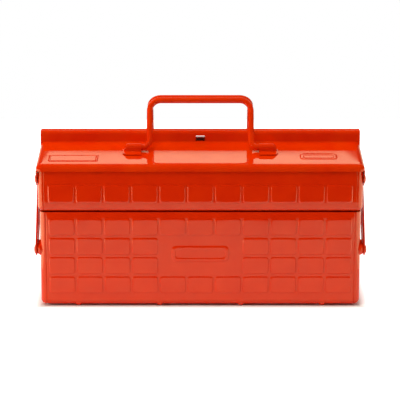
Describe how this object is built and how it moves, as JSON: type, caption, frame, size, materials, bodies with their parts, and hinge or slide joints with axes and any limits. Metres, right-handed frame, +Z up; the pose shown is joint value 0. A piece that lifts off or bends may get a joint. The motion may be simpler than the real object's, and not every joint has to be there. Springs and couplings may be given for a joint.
{
  "type": "cantilever toolbox",
  "caption": "Pressed steel cantilever toolbox: lower box, cantilever trays under sloping lids, flat swing arms and folding bail handles",
  "frame": {"origin": "middle of the rectangle the box stands on, at the underside of its bottom ribs", "axes": "+X runs along the length to the right of a person facing the front, the front faces -Y, and +Z is up"},
  "size_m": [0.3568, 0.1604, 0.2158],
  "materials": {
    "box_enamel": "glossy orange-red stove enamel on pressed sheet steel, with slight orange peel",
    "tray_enamel": "glossy orange-red stove enamel on pressed sheet steel",
    "lid_enamel": "glossy orange-red stove enamel, the smoothest and most reflective faces",
    "clip_enamel": "the same enamel over a small spot-welded pressing",
    "arm_enamel": "the same enamel on flat steel strip, thinner at the edges",
    "rivet_enamel": "enamelled domed rivet heads, slightly duller where they rub",
    "handle_enamel": "the same enamel on round steel rod"
  },
  "bodies": {
    "lower_box": {"box_shell": "box_enamel", "box_end_left": "box_enamel", "box_end_right": "box_enamel", "front_outer_lower_rivet_left": "rivet_enamel", "front_outer_lower_rivet_right": "rivet_enamel", "front_inner_lower_rivet_left": "rivet_enamel", "front_inner_lower_rivet_right": "rivet_enamel", "rear_outer_lower_rivet_left": "rivet_enamel", "rear_outer_lower_rivet_right": "rivet_enamel", "rear_inner_lower_rivet_left": "rivet_enamel", "rear_inner_lower_rivet_right": "rivet_enamel"},
    "front_outer_arms": {"front_outer_arm_left": "arm_enamel", "front_outer_arm_right": "arm_enamel"},
    "front_inner_arms": {"front_inner_arm_left": "arm_enamel", "front_inner_arm_right": "arm_enamel"},
    "front_tray": {"front_tray_shell": "tray_enamel", "front_tray_end_left": "tray_enamel", "front_tray_end_right": "tray_enamel", "front_tray_divider": "tray_enamel", "front_outer_upper_rivet_left": "rivet_enamel", "front_outer_upper_rivet_right": "rivet_enamel", "front_inner_upper_rivet_left": "rivet_enamel", "front_inner_upper_rivet_right": "rivet_enamel", "front_lid_rivet_left": "rivet_enamel", "front_lid_rivet_right": "rivet_enamel"},
    "front_lid": {"front_lid": "lid_enamel", "front_clip_left": "clip_enamel", "front_clip_right": "clip_enamel"},
    "front_bail": {"front_handle": "handle_enamel"},
    "rear_outer_arms": {"rear_outer_arm_left": "arm_enamel", "rear_outer_arm_right": "arm_enamel"},
    "rear_inner_arms": {"rear_inner_arm_left": "arm_enamel", "rear_inner_arm_right": "arm_enamel"},
    "rear_tray": {"rear_tray_shell": "tray_enamel", "rear_tray_end_left": "tray_enamel", "rear_tray_end_right": "tray_enamel", "rear_tray_divider": "tray_enamel", "rear_outer_upper_rivet_left": "rivet_enamel", "rear_outer_upper_rivet_right": "rivet_enamel", "rear_inner_upper_rivet_left": "rivet_enamel", "rear_inner_upper_rivet_right": "rivet_enamel", "rear_lid_rivet_left": "rivet_enamel", "rear_lid_rivet_right": "rivet_enamel"},
    "rear_lid": {"rear_lid": "lid_enamel", "rear_clip_left": "clip_enamel", "rear_clip_right": "clip_enamel"},
    "rear_bail": {"rear_handle": "handle_enamel"}
  },
  "joints": [
    {"name": "front_outer_arm_swing", "type": "hinge", "parent": "lower_box", "child": "front_outer_arms", "pos_m": [0, -0.0705, 0.062], "axis": [1, 0, 0], "range_deg": [0, 64]},
    {"name": "front_inner_arm_swing", "type": "hinge", "parent": "lower_box", "child": "front_inner_arms", "pos_m": [0, -0.0505, 0.062], "axis": [1, 0, 0], "range_deg": [0, 64]},
    {"name": "front_tray_level", "type": "hinge", "parent": "front_outer_arms", "child": "front_tray", "pos_m": [0, -0.0285, 0.131], "axis": [-1, 0, 0], "range_deg": [0, 64]},
    {"name": "front_lid_hinge", "type": "hinge", "parent": "front_tray", "child": "front_lid", "pos_m": [0, -0.07, 0.139], "axis": [1, 0, 0], "range_deg": [0, 88]},
    {"name": "front_handle_swing", "type": "hinge", "parent": "front_lid", "child": "front_bail", "pos_m": [0, -0.03766, 0.16654], "axis": [1, 0, 0], "range_deg": [0, 126]},
    {"name": "rear_outer_arm_swing", "type": "hinge", "parent": "lower_box", "child": "rear_outer_arms", "pos_m": [0, 0.0705, 0.062], "axis": [-1, 0, 0], "range_deg": [0, 64]},
    {"name": "rear_inner_arm_swing", "type": "hinge", "parent": "lower_box", "child": "rear_inner_arms", "pos_m": [0, 0.0505, 0.062], "axis": [-1, 0, 0], "range_deg": [0, 64]},
    {"name": "rear_tray_level", "type": "hinge", "parent": "rear_outer_arms", "child": "rear_tray", "pos_m": [0, 0.0285, 0.131], "axis": [1, 0, 0], "range_deg": [0, 64]},
    {"name": "rear_lid_hinge", "type": "hinge", "parent": "rear_tray", "child": "rear_lid", "pos_m": [0, 0.07, 0.139], "axis": [-1, 0, 0], "range_deg": [0, 88]},
    {"name": "rear_handle_swing", "type": "hinge", "parent": "rear_lid", "child": "rear_bail", "pos_m": [0, 0.03766, 0.16654], "axis": [-1, 0, 0], "range_deg": [0, 126]}
  ],
  "couplings": [
    {"joint": "front_inner_arm_swing", "follows": "front_outer_arm_swing", "ratio": 1},
    {"joint": "front_tray_level", "follows": "front_outer_arm_swing", "ratio": 1},
    {"joint": "rear_inner_arm_swing", "follows": "rear_outer_arm_swing", "ratio": 1},
    {"joint": "rear_tray_level", "follows": "rear_outer_arm_swing", "ratio": 1}
  ]
}
